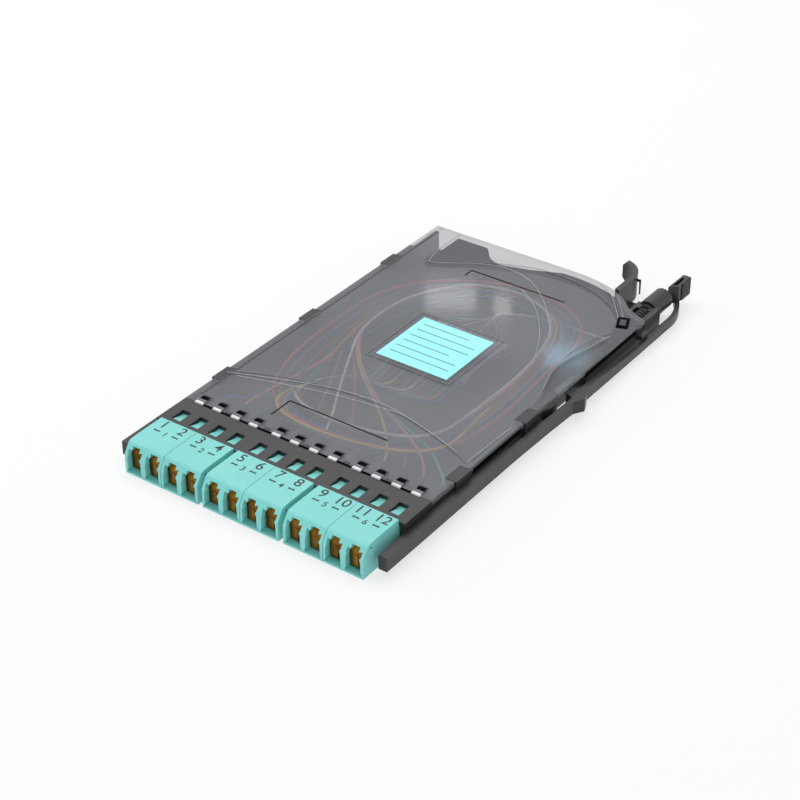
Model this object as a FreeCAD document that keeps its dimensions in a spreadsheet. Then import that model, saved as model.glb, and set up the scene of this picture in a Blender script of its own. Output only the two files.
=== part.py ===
import FreeCAD, Part
import math
import os
import re

import Sketcher

# Fibre cassette: twelve shuttered duplex ports in front of a flat splice tray
# under a clear cover, with one flexing latch arm along the right side.
# Millimetres, +X right, +Y back, +Z up.  The frame's origin is on the
# underside, origin_y behind the front face of the ports.

SIZES = {
    # A number is free to change.  A size in quotes follows from others.
    # heights
    "deck_top": 8.7,
    "deck_thick": 1.3,
    "floor_thick": 1.2,
    "adapter_top": "deck_top + 0.7",
    "wall_thick": 1.3,
    "fit_gap": 0.2,
    # port row, across
    "port_pitch": 6.25,
    "duplex_gap": 0.14,
    "quad_gap": 1.46,
    "duplex_pitch": "2*port_pitch + 0.2",
    "quad_pitch": "2*duplex_pitch + quad_gap",
    "cheek_width": 1.74,
    "half_width": "quad_pitch + duplex_pitch + cheek_width",
    "port_wall": 0.805,
    "port_half": "port_pitch/2 - port_wall",
    "port_flare": "port_half + 0.4",
    "port_nib": "port_half - 0.24",
    "slot_half": 1.27,
    "cavity_half": "port_half + 0.16",
    "leaf_half": "port_half - 0.17",
    "plug_half": "port_half - 0.12",
    "window_width": "2*port_half - 1.54",
    "clip_width": "window_width - 0.3",
    # port row, front to back
    "origin_y": 80.0,
    "block_depth": 15.2,
    "adapter_depth": "block_depth + 11",
    "brow_depth": 2.0,
    "crease_depth": 5.5,
    "face_thick": 1.3,
    "cavity_depth": "block_depth - 2.8",
    "rear_cavity": "cavity_depth + 1.6",
    "sleeve_front": "cavity_depth - 1.6",
    "sleeve_length": 1.8,
    "plug_front": "rear_cavity + 2.6",
    "plug_rear": "plug_front + 12",
    "boot_tail": "plug_rear + 10",
    "mark_half": 1.0,
    "mark_offset": "port_pitch/2",
    "mark_y": 9.5,
    # port row, up and down
    "brow_height": "adapter_top - 0.55",
    "chin_height": "adapter_top - 3.6",
    "cavity_top": "adapter_top - 0.8",
    "slot_top": "adapter_top - 1.1",
    "port_height": "adapter_top - 1.9",
    "nib_high": "port_height - 1.2",
    "nib_low": "nib_high - 1.4",
    "port_axis": "adapter_top - 5.1",
    "port_floor": 0.6,
    "rear_low": 1.9,
    "rear_high": "deck_top - 1.8",
    "ferrule_hole": 0.64,
    "ferrule_radius": "ferrule_hole - 0.04",
    "sleeve_radius": "ferrule_hole + 0.66",
    # shutters
    "pin_y": 3.6,
    "pin_z": "adapter_top - 1.65",
    "pin_radius": 0.3,
    "pin_play": 0.05,
    "barrel_radius": "pin_radius + 0.3",
    "leaf_thick": 0.25,
    "leaf_front": "pin_y - 1.8",
    "leaf_bend": "pin_z - 2.25",
    "leaf_foot": 1.15,
    # front shell
    "shell_front": "block_depth + 0.1",
    "shell_rear": "adapter_depth + 0.9",
    "window_front": "shell_front + 2",
    "window_length": 4.9,
    # cover
    "cover_front": "shell_rear + fit_gap",
    "cover_length": 122.2,
    "cover_rear": "cover_front + cover_length",
    "clip_length": 3.1,
    "clip_rise": 0.35,
    "rib_rise": 0.3,
    "rib_width": 0.5,
    "front_bow_y": "cover_front + 18",
    "side_bow_x": "half_width - 4.5",
    "side_bow_front": "cover_rear - 62",
    "side_bow_rear": "cover_rear - 24.7",
    "side_bow_radius": 43.0,
    "bump_y": "cover_rear - 55.1",
    "hook_length": 6.8,
    "hook_width": 1.7,
    "hook_left_front": "cover_front + 12.1",
    "hook_left_rear": "cover_rear - 29.9",
    "hook_right_front": "cover_front + 10.2",
    "hook_right_rear": "bump_y - 23.6",
    "snap_x": "half_width - 4.3",
    "snap_y": "cover_rear - 18",
    "label_width": 24.4,
    "label_length": 24.2,
    "label_thick": 0.15,
    "label_front": "cover_rear - 73.3",
    # side rails and latch arm
    "rail_width": 2.7,
    "rail_outer": "half_width + rail_width",
    "rail_low": 1.9,
    "rail_high": "deck_top - 2.6",
    "rail_front": 3.9,
    "rail_rear": "cover_rear - 11.5",
    "arm_root": "bump_y - 32.4",
    "arm_thick": 1.5,
    "arm_low": 1.5,
    "arm_rear_high": "rail_high - 2",
    "bump_out": 2.7,
    "tab_low": 2.9,
    "tab_top": "deck_top",
    "tab_reach": 17.7,
    "tab_rear": "cover_rear + tab_reach",
    "tab_outer": "rail_outer - 4.1",
    "tab_rib": 0.35,
    "loop_radius": 20.0,
    # rear fittings
    "hook_top": "adapter_top",
    "hook_x": "half_width - 14.3",
    "hook_wall": 1.6,
    "curl_y": "cover_rear + 6.1",
    "curl_radius": 9.0,
    "outlet_x": "rail_outer - 7.4",
    "outlet_z": "rail_high - 0.8",
    "outlet_radius": 3.2,
    "outlet_bore": "outlet_radius - 0.9",
    "outlet_front": "cover_rear - 2.5",
    "outlet_rear": "outlet_front + 9.6",
    "boot_radius": "outlet_bore - 0.25",
    "boot_core": "boot_radius - 0.5",
    "cable_radius": 1.0,
    "boot_front": "cover_rear - 9.3",
    "boot_pitch": 1.4,
    # pigtails and splices
    "fibre_radius": 0.18,
    "fibre_level": 2.9,
    "fibre_step": "(deck_top - deck_thick - 0.32 - fibre_level)/11",
    "lane_radius": "half_width - 16.3",
    "lane_step": 0.6,
    "lane_rear": "cover_rear - 43.5",
    "fan_length": 36.0,
    "splice_pitch": 2.1,
    "splice_front": "cover_rear - 65.5",
    "splice_length": 24.0,
    "splice_level": "fibre_level + 0.8",
    "trunk_radius": 0.45,
    "trunk_level": "splice_level - 1.8",
    "trunk_y": "cover_rear - 19.3",
}

doc = FreeCAD.newDocument("fibre_cassette")
sheet = doc.addObject("Spreadsheet::Sheet", "Dims")
for row, (alias, value) in enumerate(SIZES.items(), start=1):
    sheet.set(f"A{row}", alias)
    sheet.set(f"B{row}", f"={value}")
    sheet.setAlias(f"B{row}", alias)
doc.recompute()

pieces = []


# ---------------------------------------------------------------- helpers

def bound(text):
    """An expression over the sheet's aliases, written without the sheet's name."""
    def qualify(match):
        word = match.group(0)
        return f"Dims.{word}" if word in SIZES else word
    return re.sub(r"[A-Za-z_]\w*", qualify, str(text))


def value_of(text):
    return float(sheet.evalExpression(bound(text)))


def origin_plane(body, role):
    return next(o for o in body.Origin.OriginFeatures if o.Role == role)


def new_body(name):
    body = doc.addObject("PartDesign::Body", name)
    body.Label = name
    body.setExpression("Placement.Base.y", bound("-origin_y"))
    pieces.append(body)
    return body


def sketch_on(body, name, role, offset):
    """An empty sketch parallel to an origin plane, its offset bound to the sheet."""
    sketch = body.newObject("Sketcher::SketchObject", name)
    sketch.AttachmentSupport = (origin_plane(body, role), "")
    sketch.MapMode = "FlatFace"
    sketch.setExpression(".AttachmentOffset.Base.z", bound(offset))
    return sketch


def arc_geometry(start, end, radius):
    """The short arc from start to end; a positive radius turns left."""
    chord = end - start
    half = chord.Length / 2
    rise = math.sqrt(max(radius * radius - half * half, 0.0))
    left = FreeCAD.Vector(-chord.y, chord.x, 0).normalize()
    side = 1 if radius > 0 else -1
    centre = start + chord * 0.5 + left * (rise * side)
    first, last = (start, end) if radius > 0 else (end, start)
    angles = [math.atan2(p.y - centre.y, p.x - centre.x) for p in (first, last)]
    if angles[1] < angles[0]:
        angles[1] += 2 * math.pi
    circle = Part.Circle(centre, FreeCAD.Vector(0, 0, 1), abs(radius))
    return Part.ArcOfCircle(circle, angles[0], angles[1])


def loop(sketch, corners):
    """A closed outline.  Each corner is (x, y), or (x, y, r) where an arc follows it."""
    spots = [FreeCAD.Vector(value_of(c[0]), value_of(c[1]), 0) for c in corners]
    edges = []
    for index, corner in enumerate(corners):
        start = spots[index]
        end = spots[(index + 1) % len(spots)]
        if len(corner) == 3:
            radius = value_of(corner[2])
            number = sketch.addGeometry(arc_geometry(start, end, radius))
            ends = (1, 2) if radius > 0 else (2, 1)
            rule = Sketcher.Constraint("Radius", number, abs(radius))
            mark = sketch.addConstraint(rule)
            sketch.setExpression(f"Constraints[{mark}]", bound(f"abs({corner[2]})"))
        else:
            number = sketch.addGeometry(Part.LineSegment(start, end))
            ends = (1, 2)
        edges.append((number, ends))
    for index, (number, ends) in enumerate(edges):
        follower, follower_ends = edges[(index + 1) % len(edges)]
        sketch.addConstraint(
            Sketcher.Constraint("Coincident", number, ends[1], follower, follower_ends[0]))
        for kind, text, at in (
            ("DistanceX", corners[index][0], spots[index].x),
            ("DistanceY", corners[index][1], spots[index].y),
        ):
            mark = sketch.addConstraint(
                Sketcher.Constraint(kind, -1, 1, number, ends[0], at))
            sketch.setExpression(f"Constraints[{mark}]", bound(text))


def ring(sketch, x, y, radius):
    """A circle placed and sized from the sheet."""
    centre = FreeCAD.Vector(value_of(x), value_of(y), 0)
    number = sketch.addGeometry(
        Part.Circle(centre, FreeCAD.Vector(0, 0, 1), value_of(radius)))
    rules = (
        (Sketcher.Constraint("Radius", number, value_of(radius)), radius),
        (Sketcher.Constraint("DistanceX", -1, 1, number, 3, centre.x), x),
        (Sketcher.Constraint("DistanceY", -1, 1, number, 3, centre.y), y),
    )
    for rule, text in rules:
        mark = sketch.addConstraint(rule)
        sketch.setExpression(f"Constraints[{mark}]", bound(text))


def octagon(sketch, x, y, radius):
    """A regular octagon about (x, y), its flats at the given radius."""
    reach = f"({radius})*{math.tan(math.pi / 8):.6f}"
    flat = f"({radius})"
    signs = ((1, 1, 0), (1, 1, 1), (-1, 1, 1), (-1, 1, 0),
             (-1, -1, 0), (-1, -1, 1), (1, -1, 1), (1, -1, 0))
    loop(sketch, [
        (f"{x} + {sx}*{reach if tall else flat}", f"{y} + {sy}*{flat if tall else reach}")
        for sx, sy, tall in signs
    ])


def extrude(body, sketch, kind, length, backwards=False, middle=False):
    """A pad or pocket, checked to have added or removed material."""
    before = body.Shape.Volume if body.Shape and not body.Shape.isNull() else 0.0
    feature = body.newObject(f"PartDesign::{kind}", f"{sketch.Name}_{kind.lower()}")
    feature.Profile = sketch
    feature.setExpression("Length", bound(length))
    feature.Reversed = backwards
    feature.Midplane = middle
    doc.recompute()
    change = body.Shape.Volume - before
    if (change <= 0) if kind == "Pad" else (change >= 0):
        raise ValueError(f"{body.Label}: {sketch.Name} changed nothing")
    return feature


def pad_up(body, name, low, height, *loops):
    """Material from the level low upward, height tall."""
    sketch = sketch_on(body, name, "XY_Plane", low)
    for corners in loops:
        loop(sketch, corners)
    return extrude(body, sketch, "Pad", height)


def cut_up(body, name, low, height, *loops):
    sketch = sketch_on(body, name, "XY_Plane", low)
    for corners in loops:
        loop(sketch, corners)
    return extrude(body, sketch, "Pocket", height, backwards=True)


def box(left, right, low, high):
    return [(left, low), (right, low), (right, high), (left, high)]


def copies(source, placements):
    """Links to one body, each with its own label and sheet-bound place."""
    for label, x in placements:
        link = doc.addObject("App::Link", label)
        link.LinkedObject = source
        link.LinkTransform = False
        link.Label = label
        link.setExpression("Placement.Base.x", bound(x))
        link.setExpression("Placement.Base.y", bound("-origin_y"))
        pieces.append(link)


def duplex_x(number):
    """Middle of duplex adapter 0..5 across the row."""
    quad, side = divmod(number, 2)
    return f"({quad - 1}*quad_pitch + {side - 0.5}*duplex_pitch)"


def port_x(number):
    """Middle of port 0..11 across the row."""
    duplex, side = divmod(number, 2)
    return f"({duplex_x(duplex)} + {side - 0.5}*port_pitch)"


def gap_x(number):
    """Middle of the gap between duplex number and the next one."""
    return f"({duplex_x(number)} + {duplex_x(number + 1)})/2"


# Front ends of the tray's edge hooks, which the cover is notched for.
LEFT_HOOKS = ("hook_left_front", "(hook_left_front + hook_left_rear)/2 - 0.7",
              "hook_left_rear")
RIGHT_HOOKS = ("hook_right_front", "hook_right_rear")


def snap_outline(clear):
    """Square snap at the right rear tongue, turned with the curve of the edge."""
    return [
        (f"snap_x - 2.8 - {clear}", "snap_y + 2.1"),
        ("snap_x - 0.6", f"snap_y - 3.3 - {clear}"),
        (f"snap_x + 2.6 + {clear}", "snap_y - 2.1"),
        ("snap_x + 0.4", f"snap_y + 3.3 + {clear}"),
    ]


# ------------------------------------------------------------ port row

def key_outline(middle):
    """Port mouth seen from the front: flared foot, guide nibs, latch slot on top."""
    right = [
        ("port_flare", "port_floor"),
        ("port_half", "port_floor + 1"),
        ("port_half", "nib_low"),
        ("port_nib", "nib_low + 0.4"),
        ("port_nib", "nib_high - 0.4"),
        ("port_half", "nib_high"),
        ("port_half", "port_height"),
        ("slot_half", "port_height - 0.3"),
        ("slot_half", "slot_top"),
    ]
    left = [(f"{middle} - {x}", z) for x, z in reversed(right)]
    return [(f"{middle} + {x}", z) for x, z in right] + left


def make_adapter():
    body = new_body("adapter_1")
    body.setExpression("Placement.Base.x", bound(duplex_x(0)))
    side = sketch_on(body, "side_profile", "YZ_Plane", "0")
    loop(side, [
        ("0", "0"),
        ("block_depth", "0"),
        ("block_depth", "floor_thick"),
        ("adapter_depth", "floor_thick"),
        ("adapter_depth", "deck_top - deck_thick"),
        ("block_depth", "deck_top - deck_thick"),
        ("block_depth", "adapter_top"),
        ("crease_depth", "adapter_top"),
        ("brow_depth + 0.8", "adapter_top - 0.15", "2.2"),
        ("brow_depth", "brow_height"),
        ("0", "chin_height"),
    ])
    extrude(body, side, "Pad", "duplex_pitch - duplex_gap", middle=True)
    middles = ("-port_pitch/2", "port_pitch/2")
    mouths = sketch_on(body, "port_mouths", "XZ_Plane", "1")
    for middle in middles:
        loop(mouths, key_outline(middle))
    extrude(body, mouths, "Pocket", "1 + brow_depth + face_thick")
    for number, middle in enumerate(middles, start=1):
        cavity = sketch_on(body, f"cavity_{number}", "YZ_Plane", middle)
        loop(cavity, [
            ("face_thick", "port_floor"),
            ("cavity_depth", "port_floor"),
            ("cavity_depth", "cavity_top"),
            ("brow_depth + face_thick", "cavity_top"),
            ("face_thick", "chin_height - 0.3"),
        ])
        extrude(body, cavity, "Pocket", "2*cavity_half", middle=True)
    sockets = sketch_on(body, "rear_sockets", "XZ_Plane", "-rear_cavity")
    for middle in middles:
        loop(sockets, box(f"{middle} - cavity_half", f"{middle} + cavity_half",
                          "rear_low", "rear_high"))
    extrude(body, sockets, "Pocket", "adapter_depth - rear_cavity + 1")
    sleeves = sketch_on(body, "ferrule_sleeves", "XZ_Plane", "-sleeve_front")
    bores = sketch_on(body, "ferrule_bores", "XZ_Plane", "0.5 - sleeve_front")
    for middle in middles:
        octagon(sleeves, middle, "port_axis", "sleeve_radius")
        ring(bores, middle, "port_axis", "ferrule_hole")
    extrude(body, sleeves, "Pad", "sleeve_length", backwards=True)
    extrude(body, bores, "Pocket", "rear_cavity - sleeve_front + 1")
    pin_hole = sketch_on(body, "pin_hole", "YZ_Plane", "0")
    octagon(pin_hole, "pin_y", "pin_z", "pin_radius")
    extrude(body, pin_hole, "Pocket", "duplex_pitch + 1", middle=True)
    marks = sketch_on(body, "finger_marks", "XY_Plane", "adapter_top - 0.35")
    for side in ("-mark_offset", "mark_offset"):
        loop(marks, [
            (f"{side} - mark_half", "mark_y"),
            (f"{side} + mark_half", "mark_y"),
            (f"{side} + mark_half - 0.5", "mark_y + 0.55"),
            (f"{side} - mark_half", "mark_y + 0.55"),
        ])
    extrude(body, marks, "Pocket", "0.35 + 0.5", backwards=True)
    for number, middle in enumerate(middles, start=1):
        ramp = sketch_on(body, f"latch_ramp_{number}", "YZ_Plane", middle)
        loop(ramp, [
            ("window_front + 0.3", "deck_top - deck_thick - 0.1"),
            ("window_front + window_length - 1", "deck_top - deck_thick - 0.1"),
            ("window_front + window_length - 1", "deck_top - deck_thick + 0.1"),
            ("window_front + 0.3", "deck_top - 0.25"),
        ])
        extrude(body, ramp, "Pad", "window_width - 0.6", middle=True)
    copies(body, [(f"adapter_{n + 1}", duplex_x(n)) for n in range(1, 6)])


def make_shutter():
    """Sprung leaf rolled around its pin, bent to hang just behind the port face."""
    body = new_body("shutter_01")
    body.setExpression("Placement.Base.x", bound(port_x(0)))
    leaf = sketch_on(body, "leaf", "YZ_Plane", "0")
    loop(leaf, [
        ("leaf_front", "leaf_foot"),
        ("leaf_front + leaf_thick", "leaf_foot"),
        ("leaf_front + leaf_thick", "leaf_bend"),
        ("pin_y - 0.3", "pin_z - barrel_radius*0.75"),
        ("pin_y - barrel_radius*0.9", "pin_z"),
        ("leaf_front", "leaf_bend + 0.1"),
    ])
    extrude(body, leaf, "Pad", "2*leaf_half", middle=True)
    barrel = sketch_on(body, "barrel", "YZ_Plane", "0")
    octagon(barrel, "pin_y", "pin_z", "barrel_radius")
    extrude(body, barrel, "Pad", "2*leaf_half", middle=True)
    rib = sketch_on(body, "pressed_rib", "YZ_Plane", "0")
    loop(rib, box("leaf_front - 0.15", "leaf_front + 0.05",
                  "leaf_foot + 0.5", "leaf_bend - 0.3"))
    extrude(body, rib, "Pad", "0.45*leaf_half", middle=True)
    eye = sketch_on(body, "eye", "YZ_Plane", "0")
    octagon(eye, "pin_y", "pin_z", "pin_radius + pin_play")
    extrude(body, eye, "Pocket", "3*leaf_half", middle=True)
    copies(body, [(f"shutter_{n + 1:02d}", port_x(n)) for n in range(1, 12)])


def make_pins():
    body = new_body("shutter_pin_1")
    body.setExpression("Placement.Base.x", bound(duplex_x(0)))
    rod = sketch_on(body, "rod", "YZ_Plane", "0")
    octagon(rod, "pin_y", "pin_z", "pin_radius")
    extrude(body, rod, "Pad", "duplex_pitch - duplex_gap", middle=True)
    copies(body, [(f"shutter_pin_{n + 1}", duplex_x(n)) for n in range(1, 6)])


def make_plugs():
    """Duplex inner connector: two housings, ferrules, clip and tapered boots."""
    body = new_body("inner_plug_1")
    body.setExpression("Placement.Base.x", bound(duplex_x(0)))
    middles = ("-port_pitch/2", "port_pitch/2")
    shells = sketch_on(body, "housings", "XZ_Plane", "-plug_front")
    for middle in middles:
        loop(shells, box(f"{middle} - plug_half", f"{middle} + plug_half",
                         "rear_low", "rear_high - fit_gap"))
    extrude(body, shells, "Pad", "plug_rear - plug_front", backwards=True)
    clip = sketch_on(body, "duplex_clip", "XZ_Plane", "-(adapter_depth + 0.6)")
    loop(clip, box("-port_pitch/2", "port_pitch/2", "rear_low + 0.6", "rear_high - 0.9"))
    extrude(body, clip, "Pad", "1.8", backwards=True)
    tips = sketch_on(body, "ferrules", "XZ_Plane", "-(cavity_depth - 0.2)")
    boots = sketch_on(body, "boots", "XZ_Plane", "-plug_rear")
    for middle in middles:
        ring(tips, middle, "port_axis", "ferrule_radius")
        octagon(boots, middle, "port_axis", "plug_half - 0.5")
    extrude(body, tips, "Pad", "plug_front - cavity_depth + 0.2", backwards=True)
    taper = extrude(body, boots, "Pad", "boot_tail - plug_rear", backwards=True)
    taper.TaperAngle = -5
    doc.recompute()
    copies(body, [(f"inner_plug_{n + 1}", duplex_x(n)) for n in range(1, 6)])


# --------------------------------------------------- shell, cover, label

def make_front_shell():
    body = new_body("front_shell")
    under = "deck_top - deck_thick"
    pad_up(body, "strip", under, "deck_thick",
           box("-half_width", "half_width", "shell_front", "shell_rear"))
    row_half = "(quad_pitch + duplex_pitch - duplex_gap/2)"
    pad_up(body, "cheeks", "floor_thick", f"{under} - floor_thick",
           box("-half_width", f"-({row_half} + fit_gap)", "shell_front", "shell_rear"),
           box(f"{row_half} + fit_gap", "half_width", "shell_front", "shell_rear"))
    fins = [box(f"{s}*quad_pitch/2 - 0.6", f"{s}*quad_pitch/2 + 0.6",
                "shell_front", "adapter_depth") for s in (-1, 1)]
    pad_up(body, "fins", "floor_thick", f"{under} - floor_thick", *fins)
    windows = [box(f"{port_x(n)} - window_width/2", f"{port_x(n)} + window_width/2",
                   "window_front", "window_front + window_length") for n in range(12)]
    cut_up(body, "windows", f"{under} - 0.5", "deck_thick + 1", *windows)
    tabs = [box(f"{gap_x(n)} - 0.8", f"{gap_x(n)} + 0.8", "shell_rear - 0.1",
                "shell_rear + 1.3") for n in range(5)]
    pad_up(body, "rear_tabs", under, "deck_thick", *tabs)


def cover_outline(inset):
    """Plan of the cover: square at the left rear, a long curve to the right tongue."""
    i = inset
    return [
        (f"-(half_width - {i})", f"cover_front + {i}"),
        (f"half_width - {i}", f"cover_front + {i}"),
        (f"half_width - {i}", f"cover_rear - 13 - {i}"),
        (f"half_width - 7.3 - {i}", f"cover_rear - 9.6 - {i}", "24"),
        (f"half_width - 21.3 - {i}", f"cover_rear - 1.2 - {i}", "44"),
        (f"9", f"cover_rear - {i}"),
        (f"-(half_width - {i})", f"cover_rear - {i}"),
    ]


def bow(x0, y0, x1, y1, radius):
    """A thin raised line from one point to another, bowed towards the rear."""
    return [(x0, y0, f"-({radius})"), (x1, y1), (x1, f"{y1} + rib_width", radius),
            (x0, f"{y0} + rib_width")]


def frame_loops(left, right, low, high, width):
    """Outer and inner outlines of a rectangular ridge."""
    return (box(left, right, low, high),
            box(f"{left} + {width}", f"{right} - {width}",
                f"{low} + {width}", f"{high} - {width}"))


def make_cover():
    body = new_body("clear_cover")
    under = "deck_top - deck_thick"
    pad_up(body, "plate", under, "deck_thick", cover_outline("0"))
    slots = [box(f"{port_x(n)} - clip_width/2", f"{port_x(n)} + clip_width/2",
                 "cover_front + clip_length", "cover_front + clip_length + 0.9")
             for n in range(12)]
    cut_up(body, "clip_slots", f"{under} - 0.5", "deck_thick + 1", *slots)
    notches = [box(f"{gap_x(n)} - 1", f"{gap_x(n)} + 1", "cover_front - 0.5",
                   "shell_rear + 1.5") for n in range(5)]
    notches += [box("-half_width - 1", "-half_width + hook_width + fit_gap",
                    f"{y} - fit_gap", f"{y} + hook_length + fit_gap")
                for y in LEFT_HOOKS]
    notches += [box("half_width - 3", "half_width + 1", f"{y} - fit_gap",
                    f"{y} + hook_length + fit_gap") for y in RIGHT_HOOKS]
    notches.append(snap_outline("fit_gap"))
    cut_up(body, "notches", f"{under} - 0.5", "deck_thick + 1", *notches)
    clips = [box(f"{port_x(n)} - clip_width/2", f"{port_x(n)} + clip_width/2",
                 "cover_front", "cover_front + clip_length") for n in range(12)]
    pad_up(body, "clips", "deck_top - 0.1", "clip_rise + 0.1", *clips)
    pad_up(body, "bows", "deck_top - 0.1", "rib_rise + 0.1",
           bow("3.3 - half_width", "front_bow_y", "half_width - 2.5",
               "front_bow_y + 0.7", "2*half_width + 1.4"),
           bow("11.1 - half_width", "cover_rear - 21.3", "-2.2", "cover_rear - 6.3",
               "90"))
    pad_up(body, "rear_bow", "deck_top - 0.1", "rib_rise + 0.1",
           bow("-2.2", "cover_rear - 6.3", "half_width - 7.7", "cover_rear - 15.5",
               "half_width - 1.3"))
    pad_up(body, "side_ribs", "deck_top - 0.1", "rib_rise + 0.1",
           box("9.1 - half_width", "9.1 - half_width + rib_width",
               "cover_rear - 20.5", "cover_rear - 1.5"),
           box("2.1 - half_width", "2.1 - half_width + 0.7*rib_width",
               "cover_front + 4", "cover_rear - 1"),
           box("half_width - 2.1", "half_width - 2.1 + rib_width",
               "front_bow_y + 2.7", "side_bow_front - 20"),
           [("side_bow_x", "side_bow_rear", "side_bow_radius"),
            ("side_bow_x", "side_bow_front"),
            ("side_bow_x + rib_width", "side_bow_front", "-side_bow_radius"),
            ("side_bow_x + rib_width", "side_bow_rear")])
    pad_up(body, "rim_bow", "deck_top - 0.1", "rib_rise + 0.1",
           bow("half_width - 21", "cover_rear - 2.9", "half_width - 8.4",
               "cover_rear - 13.6", "half_width"))
    frame = frame_loops("-label_width/2 - 2.2", "label_width/2 + 2.2",
                        "label_front - 2.2", "label_front + label_length + 2.2",
                        "rib_width")
    pad_up(body, "label_frame", "deck_top - 0.1", "rib_rise + 0.1", *frame)


def make_label():
    plate = doc.addObject("Part::Box", "cover_label")
    plate.Label = "cover_label"
    for prop, text in (
        ("Length", "label_width"), ("Width", "label_length"),
        ("Height", "label_thick"),
        ("Placement.Base.x", "-label_width/2"),
        ("Placement.Base.y", "label_front - origin_y"),
        ("Placement.Base.z", "deck_top"),
    ):
        plate.setExpression(prop, bound(text))
    pieces.append(plate)


# ------------------------------------------------------------------ tray

def tray_outline():
    """Plan of the tray below the cover, with the bay for the latch bump."""
    return [
        ("-half_width", "shell_rear"),
        ("half_width", "shell_rear"),
        ("half_width", "bump_y - 14", "8"),
        ("half_width - 3", "bump_y - 3"),
        ("half_width - 3", "bump_y + 5"),
        ("half_width", "bump_y + 9"),
        ("half_width", "cover_rear - 13.5"),
        ("half_width - 7.3", "cover_rear - 10.6", "24"),
        ("half_width - 21.3", "cover_rear - 2.2", "44"),
        ("6", "cover_rear - 1"),
        ("-3", "cover_rear - 5"),
        ("-12", "cover_rear - 7.7", "-8"),
        ("21.9 - half_width", "cover_rear - 3.6"),
        ("19.7 - half_width", "cover_rear - 1.2"),
        ("10.1 - half_width", "cover_rear - 1.2"),
        ("-half_width", "cover_rear - 1.2"),
    ]


def fibre_space():
    """Plan of the open fibre area, bowed in at the right beside the latch bay."""
    return [
        ("-half_width + wall_thick", "shell_rear - 1"),
        ("half_width - wall_thick", "shell_rear - 1"),
        ("half_width - wall_thick", "side_bow_front - 19.5"),
        ("side_bow_x", "side_bow_front", "-side_bow_radius"),
        ("side_bow_x", "side_bow_rear"),
        ("half_width - 7.3", "cover_rear - 16.7", "30"),
        ("13.3", "cover_rear - 5.6", "60"),
        ("-2.2", "cover_rear - 6.9"),
        ("-16.8", "cover_rear - 14.1"),
        ("11.2 - half_width", "cover_rear - 21.9"),
        ("8.8 - half_width", "cover_rear - 20.5"),
        ("8.8 - half_width", "cover_rear + 1"),
        ("-half_width + wall_thick", "cover_rear + 1"),
    ]


def make_tray():
    body = new_body("base_tray")
    under = "deck_top - deck_thick"
    pad_up(body, "shape", "0", under, tray_outline())
    cut_up(body, "fibre_space", "floor_thick", "deck_top", fibre_space())
    pad_up(body, "apron", "0", "floor_thick",
           box("-half_width", "half_width", "shell_front", "shell_rear + 1"))
    cut_up(body, "rear_notch", "-1", "deck_top",
           box("2.1 - half_width", "8.8 - half_width", "cover_rear - 9",
               "cover_rear + 2"))
    pad_up(body, "rear_ledge", "0", "floor_thick", [
        ("hook_x - 5", "cover_rear - 5"), ("hook_x + 3", "cover_rear - 8"),
        ("hook_x + 4.5", "cover_rear - 6"), ("hook_x + 2", "curl_y - 0.4"),
        ("hook_x - 2", "curl_y - 0.4")])
    pad_up(body, "outlet_floor", "0", "floor_thick", [
        ("outlet_x - 7.1", "cover_rear - 9.5"), ("outlet_x + 4.4", "cover_rear - 15.5"),
        ("outlet_x + 4.4", "outlet_front + 0.6"), ("outlet_x - 4", "outlet_front + 0.6")])
    rails = [box("half_width - 0.2", "rail_outer", "rail_front", "arm_root"),
             box("-rail_outer", "-(half_width - 0.2)", "rail_front", "rail_rear")]
    pad_up(body, "rails", "rail_low", "rail_high - rail_low", *rails)
    cut_up(body, "rail_clear", "rail_low - 0.5", "rail_high",
           box("-half_width - pin_play", "half_width + pin_play", "0", "shell_rear"))
    pad_up(body, "arm_lug", "arm_rear_high + fit_gap", "1.5",
           box("half_width - 0.5", "rail_outer - 1", "cover_rear - 17", "cover_rear - 13.6"))
    hooks = [box("-half_width - 0.9", "-half_width + hook_width", y,
                 f"{y} + hook_length") for y in LEFT_HOOKS]
    hooks += [box("half_width - 2.8", "half_width + 0.5", y, f"{y} + hook_length")
              for y in RIGHT_HOOKS]
    pad_up(body, "hooks", "rail_low", "deck_top - rail_low", *hooks)
    cut_up(body, "cable_tunnel", "floor_thick", "deck_top - deck_thick - floor_thick - 1.2", [
        ("outlet_x - 5.6", "cover_rear - 21.5"),
        ("outlet_x + 1.7", "cover_rear - 21.5"),
        ("outlet_x + 1.7", "cover_rear - 8"),
        ("outlet_x - 1.7", "cover_rear - 8"),
        ("outlet_x - 1.7", "cover_rear - 12.5"),
        ("outlet_x - 5.6", "cover_rear - 16"),
    ])
    pad_up(body, "snap", f"{under} - 0.2", "deck_thick + 0.2", snap_outline("0"))


# ---------------------------------------------------------- latch lever

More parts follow.
